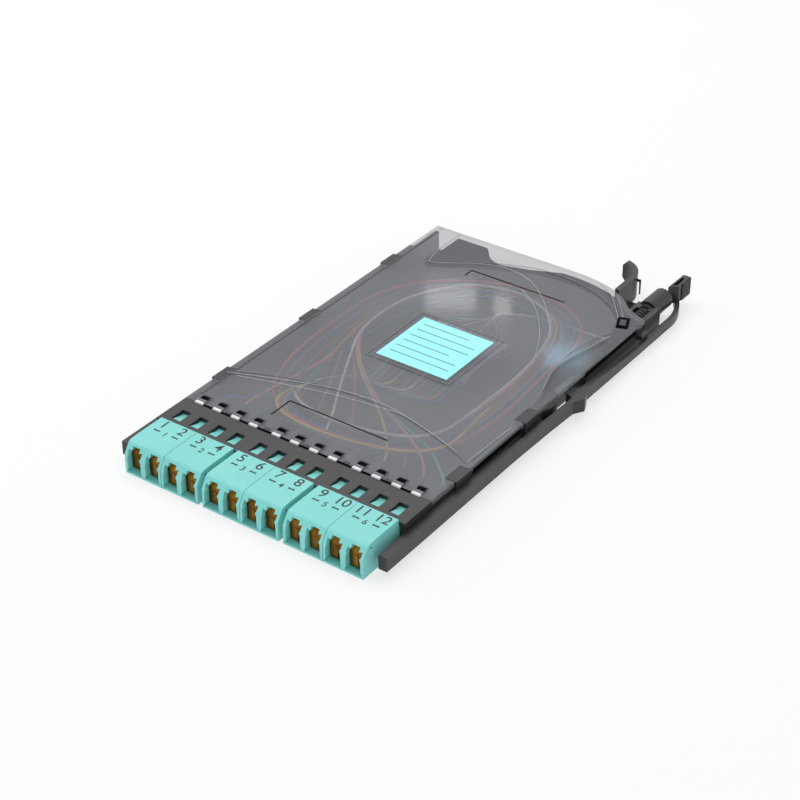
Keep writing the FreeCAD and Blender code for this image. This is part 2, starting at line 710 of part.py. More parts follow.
def make_latch():
    """One moulding: arm, bump, stop, rear arm, loop and ribbed thumb tab."""
    body = new_body("latch_lever")
    inner = "rail_outer - arm_thick"
    root = "arm_root + pin_play"
    pad_up(body, "front_arm", "rail_low", "rail_high - rail_low", [
        (inner, root),
        ("rail_outer", root),
        ("rail_outer + 0.35", "bump_y - 15"),
        ("rail_outer + 0.85", "bump_y - 3.4"),
        ("rail_outer + bump_out", "bump_y - 0.3"),
        ("rail_outer + bump_out - 0.9", "bump_y + 2"),
        ("rail_outer + 0.3", "bump_y + 5"),
        ("rail_outer", "bump_y + 30"),
        (f"{inner} + 0.1", "bump_y + 30"),
        (f"{inner} + 0.1", "bump_y + 4"),
        ("rail_outer - 3.2", "bump_y + 2"),
        ("rail_outer - 3.2", "bump_y - 0.8"),
        ("rail_outer - 0.6", "bump_y - 2"),
        (f"{inner} + 0.6", "bump_y - 12"),
    ])
    slope = sketch_on(body, "slope", "YZ_Plane", "rail_outer")
    loop(slope, [("bump_y + 5", "rail_high"), ("bump_y + 31", "arm_rear_high"),
                 ("bump_y + 31", "rail_high + 1"), ("bump_y + 5", "rail_high + 1")])
    extrude(body, slope, "Pocket", "12", middle=True)
    pad_up(body, "rear_arm", "arm_low", "arm_rear_high - arm_low", [
        (f"{inner} + 0.1", "bump_y + 10"),
        ("rail_outer", "bump_y + 10"),
        ("rail_outer", "outlet_front + 1", "loop_radius"),
        ("tab_outer", "tab_rear - 6.6"),
        ("tab_outer - 1.4", "tab_rear - 7.2", "arm_thick - loop_radius"),
        (f"{inner} + 0.1", "outlet_front + 1"),
    ])
    pad_up(body, "thumb_tab", "tab_low", "tab_top - tab_low", [
        ("outlet_x + cable_radius - 0.15", "tab_rear - 9.4"),
        ("tab_outer - 1.6", "tab_rear - 8.4"),
        ("tab_outer", "tab_rear - 7"),
        ("tab_outer", "tab_rear"),
        ("tab_outer - 2.3", "tab_rear"),
    ])
    cut_up(body, "web_recess", "tab_low + 1.6", "tab_top - tab_low", [
        ("tab_outer - 1.85", "tab_rear - 8.1"),
        ("tab_outer - 0.75", "tab_rear - 6.6"),
        ("tab_outer - 0.95", "tab_rear - 1.9"),
        ("tab_outer - 1.75", "tab_rear - 1.9"),
    ])
    ribs = [box("tab_outer - 0.1", "tab_outer + tab_rib",
                f"tab_rear - 0.5 - {k}*0.9", f"tab_rear - {k}*0.9") for k in range(6)]
    pad_up(body, "thumb_ribs", "tab_low", "tab_top - tab_low", *ribs)


# ---------------------------------------------------------- rear fittings

def make_finger_hook():
    """Curled wall that the finger pulls against while the thumb tab is squeezed."""
    body = new_body("finger_hook")
    pad_up(body, "curl", "floor_thick", "hook_top - floor_thick", [
        ("hook_x - hook_wall", "cover_rear - 2.9"),
        ("hook_x", "cover_rear - 3.3"),
        ("hook_x", "curl_y", "curl_radius"),
        ("hook_x - 7.4", "curl_y + 8.8"),
        ("hook_x - 8.2", "curl_y + 7.3", "-(curl_radius - hook_wall)"),
        ("hook_x - hook_wall", "curl_y"),
    ])
    lobe = sketch_on(body, "lobe_corners", "XZ_Plane", "-(curl_y + 2.5)")
    loop(lobe, [
        ("hook_x - 9.2", "floor_thick - 0.1"), ("hook_x - 5.6", "floor_thick - 0.1"),
        ("hook_x - 8.3", "floor_thick + 2.8"), ("hook_x - 9.2", "floor_thick + 2.8"),
    ])
    loop(lobe, [
        ("hook_x - 9.2", "hook_top - 1.3"), ("hook_x - 8.1", "hook_top - 1.3"),
        ("hook_x - 6.8", "hook_top + 0.1"), ("hook_x - 9.2", "hook_top + 0.1"),
    ])
    extrude(body, lobe, "Pocket", "8")
    tine = sketch_on(body, "tine", "XZ_Plane", "-(curl_y + 2.4)")
    loop(tine, [
        ("hook_x - 0.9", "hook_top - 1.6"), ("hook_x - 0.9", "hook_top - 2.4"),
        ("hook_x + 0.4", "hook_top - 2.4"), ("hook_x + 0.6", "floor_thick + 1.6"),
        ("hook_x + 0.9", "floor_thick + 1.6"), ("hook_x + 0.9", "hook_top - 1.6"),
    ])
    extrude(body, tine, "Pad", "0.4", backwards=True)


def make_outlet():
    """Cable outlet: a low frame with a window, and a round tunnel behind it."""
    body = new_body("cable_outlet")
    top = "outlet_z + 0.6*outlet_radius"
    pad_up(body, "frame", "floor_thick", f"{top} - floor_thick", [
        ("outlet_x - 3.4", "cover_rear - 9.1"),
        ("outlet_x + 4", "cover_rear - 11.6"),
        ("outlet_x + 4", "outlet_front + 0.6"),
        ("outlet_x - 3.4", "outlet_front + 0.6"),
    ])
    tunnel = sketch_on(body, "tunnel", "XZ_Plane", "-outlet_front")
    ring(tunnel, "outlet_x", "outlet_z", "outlet_radius")
    extrude(body, tunnel, "Pad", "outlet_rear - outlet_front", backwards=True)
    cut_up(body, "window", "floor_thick + 0.8", top,
           box("outlet_x - outlet_bore", "outlet_x + outlet_bore",
               "boot_front - 0.6", "outlet_front - 2.6"))
    bore = sketch_on(body, "bore", "XZ_Plane", "13 - cover_rear")
    ring(bore, "outlet_x", "outlet_z", "outlet_bore")
    extrude(body, bore, "Pocket", "outlet_rear - cover_rear + 14")


def make_boot():
    """Ringed strain relief, turned around the outlet's axis."""
    body = new_body("outlet_boot")
    body.setExpression("Placement.Base.x", bound("outlet_x"))
    body.setExpression("Placement.Base.z", bound("outlet_z"))
    rings = 3
    profile = [
        ("0", "boot_front"),
        ("boot_core", "boot_front"),
    ]
    for k in range(rings):
        profile += [
            ("boot_core", f"boot_front + 0.5 + {k}*boot_pitch"),
            ("boot_radius", f"boot_front + 0.5 + {k}*boot_pitch"),
            ("boot_radius", f"boot_front + 1.3 + {k}*boot_pitch"),
            ("boot_core", f"boot_front + 1.3 + {k}*boot_pitch"),
        ]
    profile += [
        ("boot_core", "outlet_front - 1.2"),
        ("outlet_bore - pin_play", "outlet_front - 1.2"),
        ("outlet_bore - pin_play", "outlet_front + 1"),
        ("boot_core", "outlet_front + 1"),
        ("boot_core", "outlet_rear - 2"),
        ("cable_radius", "outlet_rear - 2"),
        ("cable_radius", "boot_front + 2"),
        ("0", "boot_front + 2"),
    ]
    sketch = sketch_on(body, "half_section", "XY_Plane", "0")
    loop(sketch, profile)
    turned = body.newObject("PartDesign::Revolution", "turned")
    turned.Profile = sketch
    turned.ReferenceAxis = (origin_plane(body, "Y_Axis"), [""])
    turned.Angle = 360
    doc.recompute()


# ------------------------------------------------------ pigtails and splices

def make_splices():
    holder = new_body("splice_holder")
    half = "(6*splice_pitch + 0.2)"
    base = "splice_level - splice_pitch/2"
    pad_up(holder, "bed", "floor_thick", f"{base} - floor_thick",
           box(f"-{half} - 1.2", f"{half} + 1.2", "splice_front + 1",
               "splice_front + splice_length - 1"))
    pad_up(holder, "cheeks", base, "splice_pitch",
           box(f"-{half} - 1.2", f"-{half}", "splice_front + 4",
               "splice_front + splice_length - 4"),
           box(half, f"{half} + 1.2", "splice_front + 4",
               "splice_front + splice_length - 4"))
    row = new_body("splice_sleeves")
    section = sketch_on(row, "scalloped_row", "XZ_Plane", "-splice_front")
    outline = [("-6*splice_pitch", base), ("6*splice_pitch", base)]
    for k in range(6, -6, -1):
        outline.append((f"{k}*splice_pitch", "splice_level", "0.52*splice_pitch"))
    outline.append(("-6*splice_pitch", "splice_level"))
    loop(section, outline)
    extrude(row, section, "Pad", "splice_length", backwards=True)


def corner_arc(before, corner, after, radius):
    """Tangent points and middle of the arc that rounds one corner of a route."""
    inward = (before - corner).normalize()
    onward = (after - corner).normalize()
    turn = math.pi - inward.getAngle(onward)
    reach = radius * math.tan(turn / 2)
    start = corner + inward * reach
    end = corner + onward * reach
    bisector = (inward + onward).normalize()
    centre = corner + bisector * (radius / math.cos(turn / 2))
    middle = centre - bisector * radius
    return start, middle, end


def route_wire(stops):
    """Straight runs joined by tangent arcs.  Each stop is (point, corner radius)."""
    edges = []
    here = stops[0][0]
    for index in range(1, len(stops) - 1):
        corner, radius = stops[index]
        start, middle, end = corner_arc(
            stops[index - 1][0], corner, stops[index + 1][0], radius)
        if (start - here).Length > 1e-4:
            edges.append(Part.LineSegment(here, start).toShape())
        edges.append(Part.Arc(start, middle, end).toShape())
        here = end
    edges.append(Part.LineSegment(here, stops[-1][0]).toShape())
    return Part.Wire(edges)


def strand(wire, radius, sides):
    """A prism with a few sides along a route that starts level.

    Its volume is checked against the section times the length."""
    start = wire.Edges[0].valueAt(wire.Edges[0].FirstParameter)
    heading = wire.Edges[0].tangentAt(wire.Edges[0].FirstParameter)
    across = heading.cross(FreeCAD.Vector(0, 0, 1)).normalize()
    upward = across.cross(heading).normalize()
    points = []
    for k in range(sides):
        turn = math.pi * (2 * k + 1) / sides
        points.append(start + across * (radius * math.cos(turn))
                      + upward * (radius * math.sin(turn)))
    section = Part.makePolygon(points + points[:1])
    sweep = Part.BRepOffsetAPI.MakePipeShell(wire)
    sweep.setBiNormalMode(FreeCAD.Vector(0, 0, 1))
    sweep.add(section, False, False)
    sweep.build()
    sweep.makeSolid()
    solid = sweep.shape()
    area = Part.Face(section).Area
    if abs(solid.Volume / (area * wire.Length) - 1) > 0.03:
        raise ValueError(f"strand volume {solid.Volume:.3f}, length {wire.Length:.2f}")
    return solid


def place_feature(name, shape):
    feature = doc.addObject("Part::Feature", name)
    feature.Label = name
    feature.Shape = shape
    feature.setExpression("Placement.Base.y", bound("-origin_y"))
    pieces.append(feature)


def pigtail_stops(number):
    """One fibre: out of its boot, once round the lanes, into its own splice sleeve.

    Ports 1-6 run up the left lane and down the right; ports 7-12 mirror them.
    Each fibre keeps its own level, so none touches another."""
    size = {name: value_of(name) for name in SIZES}
    mirror = -1 if number >= 6 else 1
    rank = number if number < 6 else 11 - number
    level = size["fibre_level"] + size["fibre_step"] * number
    lane = size["lane_radius"] + size["lane_step"] * (rank + (0.5 if mirror < 0 else 0))
    port = value_of(port_x(number))
    slot = mirror * size["splice_pitch"] * (rank + 0.5)
    rear = size["lane_rear"]
    front = size["splice_front"]
    turn = (lane - abs(slot)) / 2
    dip = front - 9.0

    def stop(x, y, z, radius=0.0):
        return FreeCAD.Vector(x, y, z), radius

    return [
        stop(port, size["boot_tail"], size["port_axis"]),
        stop(port, size["boot_tail"] + 2, size["port_axis"], 3.0),
        stop(port, size["boot_tail"] + 10, level, 9.0),
        stop(-mirror * lane, size["boot_tail"] + size["fan_length"], level, 14.0),
        stop(-mirror * lane, rear + lane, level, lane),
        stop(mirror * lane, rear + lane, level, lane),
        stop(mirror * lane, dip - turn, level, turn),
        stop(slot, dip - turn, level, turn),
        stop(slot, dip + 1, level, 2.0),
        stop(slot, front - 1.5, size["splice_level"], 2.0),
        stop(slot, front, size["splice_level"]),
    ]


def make_pigtails():
    for number in range(12):
        wire = route_wire(pigtail_stops(number))
        place_feature(f"pigtail_{number + 1:02d}",
                      strand(wire, value_of("fibre_radius"), 4))


def make_trunk():
    """Fan of the spliced fibres gathered into one tube that runs to the outlet."""
    size = {name: value_of(name) for name in SIZES}
    rear = size["splice_front"] + size["splice_length"]
    half = 5.5 * size["splice_pitch"]
    height = size["splice_level"]
    radius = size["trunk_radius"]
    thick = 2 * size["fibre_radius"]
    corners = [(-half, rear), (half, rear), (radius, rear + 13), (-radius, rear + 13)]
    points = [FreeCAD.Vector(x, y, height - thick / 2) for x, y in corners]
    fan = Part.Face(Part.makePolygon(points + points[:1])).extrude(
        FreeCAD.Vector(0, 0, thick))
    low = size["trunk_level"]
    x = size["outlet_x"]
    stops = [
        (FreeCAD.Vector(0, rear + 12.4, height), 0.0),
        (FreeCAD.Vector(0, rear + 13.4, height), 3.0),
        (FreeCAD.Vector(0.6, rear + 18, low), 5.0),
        (FreeCAD.Vector(10, size["trunk_y"], low), 12.0),
        (FreeCAD.Vector(x, size["trunk_y"], low), 5.0),
        (FreeCAD.Vector(x, size["boot_front"] - 1.4, size["outlet_z"]), 4.0),
        (FreeCAD.Vector(x, size["boot_front"], size["outlet_z"]), 0.0),
    ]
    tube = strand(route_wire(stops), radius, 8)
    place_feature("trunk_fibres", tube.fuse(fan).removeSplitter())


# ------------------------------------------------------------ build, write

def check(piece, shape):
    bad = {"Invalid", "Error"} & set(piece.State)
    if bad or shape.isNull() or not shape.isValid() or len(shape.Solids) != 1:
        raise ValueError(f"{piece.Label}: {piece.State}, {len(shape.Solids)} solids")


def main():
    make_tray()
    make_front_shell()
    make_cover()
    make_label()
    make_adapter()
    make_shutter()
    make_pins()
    make_plugs()
    make_latch()
    make_finger_hook()
    make_outlet()
    make_boot()
    make_splices()
    make_pigtails()
    make_trunk()
    doc.recompute()
    for item in doc.Objects:
        if {"Invalid", "Error"} & set(item.State):
            raise ValueError(f"{item.Name} failed: {item.State}")
    os.makedirs("parts", exist_ok=True)
    for piece in pieces:
        shape = Part.getShape(piece)
        check(piece, shape)
        shape.exportStep(f"parts/{piece.Label}.step")
        print(f"{piece.Label}: {shape.Volume:.1f} mm3")


main()
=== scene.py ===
# %% [markdown]
# # A fibre cassette, dressed
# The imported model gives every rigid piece: tray, shell, cover, port blocks,
# leaves, lever, hook and outlet.  This lesson adds what a mould and a printer
# add: finishes, rounded edges, port numbers, coloured fibre and soft light.

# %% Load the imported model
import bpy
import bmesh
import math
import random
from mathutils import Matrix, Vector


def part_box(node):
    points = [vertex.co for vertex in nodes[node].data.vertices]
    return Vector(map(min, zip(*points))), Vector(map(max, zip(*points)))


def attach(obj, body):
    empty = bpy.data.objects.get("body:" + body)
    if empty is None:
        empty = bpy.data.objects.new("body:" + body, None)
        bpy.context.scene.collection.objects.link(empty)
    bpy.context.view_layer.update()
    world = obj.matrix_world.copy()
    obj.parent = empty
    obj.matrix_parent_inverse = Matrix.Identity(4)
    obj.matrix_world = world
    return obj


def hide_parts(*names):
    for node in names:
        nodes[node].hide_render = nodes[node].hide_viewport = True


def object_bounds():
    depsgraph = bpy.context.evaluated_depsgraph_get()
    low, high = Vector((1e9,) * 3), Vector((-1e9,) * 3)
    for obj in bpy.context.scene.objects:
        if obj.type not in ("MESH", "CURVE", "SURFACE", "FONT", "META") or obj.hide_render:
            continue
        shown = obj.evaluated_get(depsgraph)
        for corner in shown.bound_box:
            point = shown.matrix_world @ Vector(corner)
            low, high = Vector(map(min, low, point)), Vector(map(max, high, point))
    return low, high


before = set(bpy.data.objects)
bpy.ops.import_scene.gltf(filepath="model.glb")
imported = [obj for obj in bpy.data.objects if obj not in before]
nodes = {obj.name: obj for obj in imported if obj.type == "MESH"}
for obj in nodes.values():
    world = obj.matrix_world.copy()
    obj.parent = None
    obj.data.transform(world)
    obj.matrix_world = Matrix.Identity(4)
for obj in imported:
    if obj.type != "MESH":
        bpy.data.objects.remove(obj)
solid_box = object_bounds()
MM = 0.001

# %% [markdown]
# ## Where things are
# Print, clips, seams and label lines are placed from the boxes measured here, so
# they follow the model if it changes.  The fibre's route, the snap, the raised
# plates, the painted shade in the wall's channel and the painted bright lines are
# fixed places in millimetres, and a changed model needs them set again.

# %% Measure the pieces that the dressing sits on
cover_low, cover_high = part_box("clear_cover")
label_low, label_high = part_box("cover_label")
PORTS = 12
PAIRS = PORTS // 2
port_blocks = [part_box(f"adapter_{n}") for n in range(1, PAIRS + 1)]
deck = label_low.z
print("deck height (mm):", round(deck / MM, 2))

# %% [markdown]
# ## Helpers for materials
# A moulded surface is never one flat colour.  Each finish starts from a
# Principled shader, gets a slow drift of tone from one noise, and a fine bump
# from another, so that light breaks up on it as it does on real plastic.

# %% Material helpers
GRAIN_DEPTH = 0.05 * MM


def srgb(red, green, blue):
    """Screen values 0..255 as the linear colour that a shader expects."""
    def linear(value):
        value = value / 255
        return value / 12.92 if value <= 0.04045 else ((value + 0.055) / 1.055) ** 2.4
    return (linear(red), linear(green), linear(blue), 1.0)


def new_material(name, rough, metal=0.0, **sockets):
    material = bpy.data.materials.new(name)
    material.use_nodes = True
    shader = material.node_tree.nodes["Principled BSDF"]
    shader.inputs["Roughness"].default_value = rough
    shader.inputs["Metallic"].default_value = metal
    for socket, value in sockets.items():
        shader.inputs[socket.replace("_", " ")].default_value = value
    return material, shader


def coordinates(material):
    return material.node_tree.nodes.new("ShaderNodeTexCoord").outputs["Object"]


def noise(material, scale, detail=3.0, stretch=None):
    tree = material.node_tree
    node = tree.nodes.new("ShaderNodeTexNoise")
    node.inputs["Scale"].default_value = scale
    node.inputs["Detail"].default_value = detail
    source = coordinates(material)
    if stretch:
        mapping = tree.nodes.new("ShaderNodeMapping")
        mapping.inputs["Scale"].default_value = stretch
        tree.links.new(source, mapping.inputs["Vector"])
        source = mapping.outputs["Vector"]
    tree.links.new(source, node.inputs["Vector"])
    return node.outputs["Fac"]


def drift(material, shader, dark, light, scale, stretch=None):
    """Lets a colour wander between two tones across the piece."""
    tree = material.node_tree
    ramp = tree.nodes.new("ShaderNodeValToRGB")
    ramp.color_ramp.elements[0].position = 0.35
    ramp.color_ramp.elements[1].position = 0.68
    ramp.color_ramp.elements[0].color = dark
    ramp.color_ramp.elements[1].color = light
    tree.links.new(noise(material, scale, stretch=stretch), ramp.inputs["Fac"])
    tree.links.new(ramp.outputs["Color"], shader.inputs["Base Color"])


def grain(material, shader, scale, strength, stretch=None):
    """A fine moulded or brushed grain, as bump only."""
    tree = material.node_tree
    bump = tree.nodes.new("ShaderNodeBump")
    bump.inputs["Strength"].default_value = strength
    bump.inputs["Distance"].default_value = GRAIN_DEPTH
    tree.links.new(noise(material, scale, 2.0, stretch), bump.inputs["Height"])
    tree.links.new(bump.outputs["Normal"], shader.inputs["Normal"])


def finish(name, dark, light, rough, drift_scale, grain_scale, grain_strength,
           metal=0.0, stretch=None):
    material, shader = new_material(name, rough, metal)
    drift(material, shader, dark, light, drift_scale, stretch)
    grain(material, shader, grain_scale, grain_strength, stretch)
    return material

# %% [markdown]
# ## The two moulded plastics
# The port blocks are satin aqua, a little paler where light grazes them.  The
# tray, shell, lever and hook are one black, spark-eroded to a fine matt, which
# is why it reads as dark grey and not as black under a soft lamp.

# %% Aqua and black plastic
aqua = finish("aqua_moulding", srgb(126, 212, 208), srgb(134, 219, 214), 0.42,
              60.0, 2600.0, 0.25)
black = finish("black_moulding", srgb(29, 28, 28), srgb(38, 37, 37), 0.4,
               90.0, 3200.0, 0.45)
black_inner = finish("tray_inner", srgb(46, 46, 48), srgb(58, 58, 60), 0.55,
                     60.0, 2400.0, 0.3)
print("plastics ready")

# %% [markdown]
# ## The clear cover
# Clear moulded plastic that has been handled is not glass.  It passes most of
# the light, mirrors some, and scatters a little as a grey veil.  A true
# refracting shader would need caustics, so the cover mixes straight
# transparency with a glossy Principled layer.  The veil thickens in slow
# clouds, which is what softens the colours of the fibre below.

# %% Clear cover material
POLISHED = 0.06
ACRYLIC_IOR = 1.49
VEIL_CLOUDS = (0.86, 1.12)


def make_cover_material(name, veil, veil_colour):
    material, shader = new_material(name, POLISHED, IOR=ACRYLIC_IOR)
    tree = material.node_tree
    shader.inputs["Base Color"].default_value = veil_colour
    ramp = tree.nodes.new("ShaderNodeMapRange")
    ramp.inputs["From Min"].default_value = 0.3
    ramp.inputs["From Max"].default_value = 0.7
    ramp.inputs["To Min"].default_value = veil * VEIL_CLOUDS[0]
    ramp.inputs["To Max"].default_value = veil * VEIL_CLOUDS[1]
    tree.links.new(noise(material, 28.0, 4.0), ramp.inputs["Value"])
    tree.links.new(ramp.outputs["Result"], shader.inputs["Alpha"])
    grain(material, shader, 90.0, 0.05)
    return material


cover_sheet = make_cover_material("clear_cover_sheet", 0.38, srgb(150, 153, 159))
# Lit and shaded copies of the clear finish: painted highlight and painted shade for the
# rib lines.
painted_rib_highlight = make_cover_material("painted_rib_highlight", 0.62, srgb(226, 229, 233))
painted_rib_shade = make_cover_material("painted_rib_shade", 0.5, srgb(52, 53, 56))
print("clear finishes: 3")

# %% [markdown]
# Two opaque finishes go with the cover, and both are painted light.  A clip's
# end is cut and catches the light, so a painted highlight in white stands for it.
# A deep slot, groove or hollow sends nothing back, so painted shade, nearly black
# and with almost no mirror in it, stands for its darkness.

# %% Painted highlight and painted shade
painted_deep_shade, groove_shader = new_material("painted_deep_shade", 0.9)
groove_shader.inputs["Specular IOR Level"].default_value = 0.03
drift(painted_deep_shade, groove_shader, srgb(5, 5, 6), srgb(12, 12, 13), 400.0)
# Painted highlight: white for the light that the clips' cut ends catch.
painted_lip_highlight = finish("painted_lip_highlight", srgb(226, 228, 230), srgb(240, 242, 244), 0.4,
                   200.0, 900.0, 0.1)
print("lip and groove ready")

# %% [markdown]
# ## Small finishes
# Bronze spring strip for the leaves, drawn wire for their pins, printed card
# for the label, dull rubber for the boot, and coated glass fibre in the
# colours that installers count by.

# %% Metals, label and rubber
bronze = finish("bronze_leaf", srgb(104, 72, 22), srgb(138, 102, 40), 0.32,
                400.0, 1500.0, 0.3, metal=1.0, stretch=(1.0, 1.0, 0.15))
wire = finish("pin_wire", srgb(120, 120, 122), srgb(150, 150, 152), 0.3,
              300.0, 2500.0, 0.2, metal=1.0)
card = finish("label_card", srgb(160, 246, 250), srgb(168, 252, 254), 0.5,
              40.0, 1800.0, 0.12)
ink = finish("label_ink", srgb(40, 62, 66), srgb(52, 74, 78), 0.6, 300.0, 900.0, 0.1)
# Ink for the printed numbers, also used as painted shadow in the notches.
print_ink_and_notch_shadow = finish("print_ink_and_notch_shadow", srgb(16, 26, 26), srgb(28, 38, 38), 0.5,
                    300.0, 900.0, 0.1)
rubber = finish("boot_rubber", srgb(30, 30, 30), srgb(40, 40, 40), 0.7,
                200.0, 1800.0, 0.5)
sleeve = finish("sleeve_tubing", srgb(168, 172, 176), srgb(198, 202, 206), 0.3,
                300.0, 900.0, 0.15)
holder = finish("holder_plastic", srgb(40, 40, 42), srgb(52, 52, 54), 0.5,
                100.0, 2000.0, 0.3)
tube_white = finish("gathering_tube", srgb(206, 208, 208), srgb(226, 228, 228), 0.35,
                    200.0, 900.0, 0.15)

FIBRE_TONES = {
    "blue": (40, 96, 200), "orange": (240, 128, 40), "green": (40, 150, 70),
    "brown": (120, 72, 40), "slate": (130, 136, 142), "white": (236, 236, 230),
    "red": (214, 48, 40), "black": (30, 30, 32), "yellow": (240, 214, 60),
    "violet": (126, 70, 170), "rose": (236, 140, 160), "aqua": (90, 206, 206),
}
fibre_finish = {}
for tone, (red, green, blue) in FIBRE_TONES.items():
    fibre_finish[tone] = finish(
        f"fibre_{tone}", srgb(red * 0.9, green * 0.9, blue * 0.9),
        srgb(red, green, blue), 0.35, 260.0, 700.0, 0.1)
TONES = list(FIBRE_TONES)
print("fibre colours:", len(fibre_finish))

# %% [markdown]
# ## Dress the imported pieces
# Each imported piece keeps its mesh.  It gets its finish and, where a mould
# would round its corners, a small bevel, which catches a thin line of light.

# %% Assign finishes and round the edges
ROUND_FROM = math.radians(35)


def dress(names, material, edge=0.0, segments=2):
    """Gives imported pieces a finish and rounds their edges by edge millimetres."""
    for name in names:
        piece = nodes[name]
        piece.data.materials.clear()
        piece.data.materials.append(material)
        if edge:
            bevel = piece.modifiers.new("soft_edge", "BEVEL")
            bevel.width = edge * MM
            bevel.segments = segments
            bevel.limit_method = "ANGLE"
            bevel.angle_limit = ROUND_FROM
            bevel.use_clamp_overlap = True
            bevel.harden_normals = False


def numbered(stem, count, digits=1):
    return [f"{stem}_{n:0{digits}d}" for n in range(1, count + 1)]


dress(["base_tray"], black, 0.14)
dress(["front_shell"], black, 0.12)
dress(["latch_lever", "finger_hook"], black, 0.07)
dress(["cable_outlet"], black, 0.14)
dress(["clear_cover"], cover_sheet, 0.08, 1)
dress(["cover_label"], card)
dress(numbered("adapter", PAIRS), aqua, 0.12)
dress(numbered("shutter", PORTS, 2), bronze)
dress(numbered("shutter_pin", PAIRS), wire)
dress(numbered("inner_plug", PAIRS), black_inner, 0.1)
dress(["outlet_boot"], rubber)
dress(["splice_holder"], holder, 0.1)
dress(["splice_sleeves"], sleeve)
dress(["trunk_fibres"], tube_white)
for number, tone in enumerate(TONES, start=1):
    dress([f"pigtail_{number:02d}"], fibre_finish[tone])
print("dressed", len(nodes), "pieces")

# %% [markdown]
# ## Placing a new piece
# Every piece that the dressing adds is placed in the same way: its data gets a
# finish, an object carries it, and the object rides on the body that it moves
# with.

# %% Placing helpers
def add_piece(name, data, material, body):
    """Puts mesh or curve data into the scene as one piece of a body."""
    data.materials.append(material)
    piece = bpy.data.objects.new(name, data)
    bpy.context.scene.collection.objects.link(piece)
    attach(piece, body)
    return piece


def mesh_of(name, shape):
    """Turns an edited shape into mesh data."""
    mesh = bpy.data.meshes.new(name)
    shape.to_mesh(mesh)
    shape.free()
    return mesh

# %% [markdown]
# ## Twelve pigtails and their slack
# Behind every inner plug a coated fibre leans over to the left lane, runs
# round the tray so that a splice can be made again, and ends in its own splice
# sleeve.  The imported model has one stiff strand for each.  Here each becomes
# one smooth curve.  A curve with a few control points is used because fibre
# bends evenly: it cuts corners softly, where points copied from straight runs
# would look like bent wire.

# %% The lanes that the slack lies in
random.seed(12)
sleeves_low, sleeves_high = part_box("splice_sleeves")
SLOT_PITCH = (sleeves_high.x - sleeves_low.x) / PORTS
MIDDLE_SLOT = (PORTS - 1) / 2
PORT_PITCH = 6.25 * MM
FIBRE_RADIUS = 0.42 * MM
# One turn, as inner and outer control points, from the left front clockwise.
LANES_MM = [((-24, -16), (-36, -18)), ((-25.5, 8), (-38.6, 6)),
            ((-24.5, 30), (-37.5, 33)), ((-14, 48.5), (-22, 51)),
            ((4, 51.5), (5, 60)), ((19, 42), (30, 50)), ((25.5, 18), (31.2, 22)),
            ((25, -8), (33.5, -6)), ((19, -27), (30, -33)), ((-2, -33), (-2, -42.5)),
            ((-19, -29), (-27, -38))]


def lane_point(index, share, height, loose=0.4):
    (x0, y0), (x1, y1) = LANES_MM[index % len(LANES_MM)]
    x = x0 + (x1 - x0) * share + random.uniform(-loose, loose)
    y = y0 + (y1 - y0) * share + random.uniform(-loose, loose)
    return Vector((x * MM, y * MM, height))


def smooth_line(name, points, radius, material, body="cassette"):
    """A round thread along one soft spline."""
    curve = bpy.data.curves.new(name, "CURVE")
    curve.dimensions = "3D"
    curve.bevel_depth = radius
    curve.bevel_resolution = 2
    curve.resolution_u = 8
    curve.use_fill_caps = True
    spline = curve.splines.new("NURBS")
    spline.points.add(len(points) - 1)
    for control, point in zip(spline.points, points):
        control.co = (*point, 1.0)
    spline.order_u = 3
    spline.use_endpoint_u = True
    return add_piece(name, curve, material, body)

# %% [markdown]
# Each fibre has its own fan points, where it crosses from its port to the left
# lane, its own place across the lanes and its own height.

# %% Lay the pigtails
FANS_MM = [
    [(-34.5, -38.5), (-31, -33), (-29, -23), (-26.5, -11)],
    [(-28.8, -36), (-27.6, -27), (-26, -18), (-25, -7)],
    [(-22.6, -35), (-23.5, -26), (-25, -14)],
    [(-17.4, -35), (-19.5, -26), (-23, -13)],
    [(-10.4, -35), (-14, -26), (-20.5, -12)],
    [(-5.2, -33.5), (-10.8, -23.5), (-18, -9.5)],
    [(0.6, -33), (-5.5, -23), (-15, -10)],
    [(5.4, -32), (-3, -21), (-15, -9)],
    [(14.6, -35.5), (8.4, -28), (-2, -19), (-15, -8.5)],
    [(19.6, -34), (9.5, -26.5), (-3, -19), (-15, -8)],
    [(24.6, -34), (14, -27.5), (1, -21), (-14, -9)],
    [(32.5, -36), (25, -29.5), (14, -25), (-1, -19.5), (-15, -8)],
]
BOOT_EXIT_MM = 4.3
LOWEST_MM = 3.0
LAYER_MM = 0.33
SECOND_TURN_LIFT = 0.17 * MM
# From the left lane to a splice slot: how far in front of the sleeves, and how high.
RETURN_MM = [(19, 2.6), (14, 2.2), (12.5, 2.0), (10, 2.2), (5, 3.5), (-1, 3.7)]


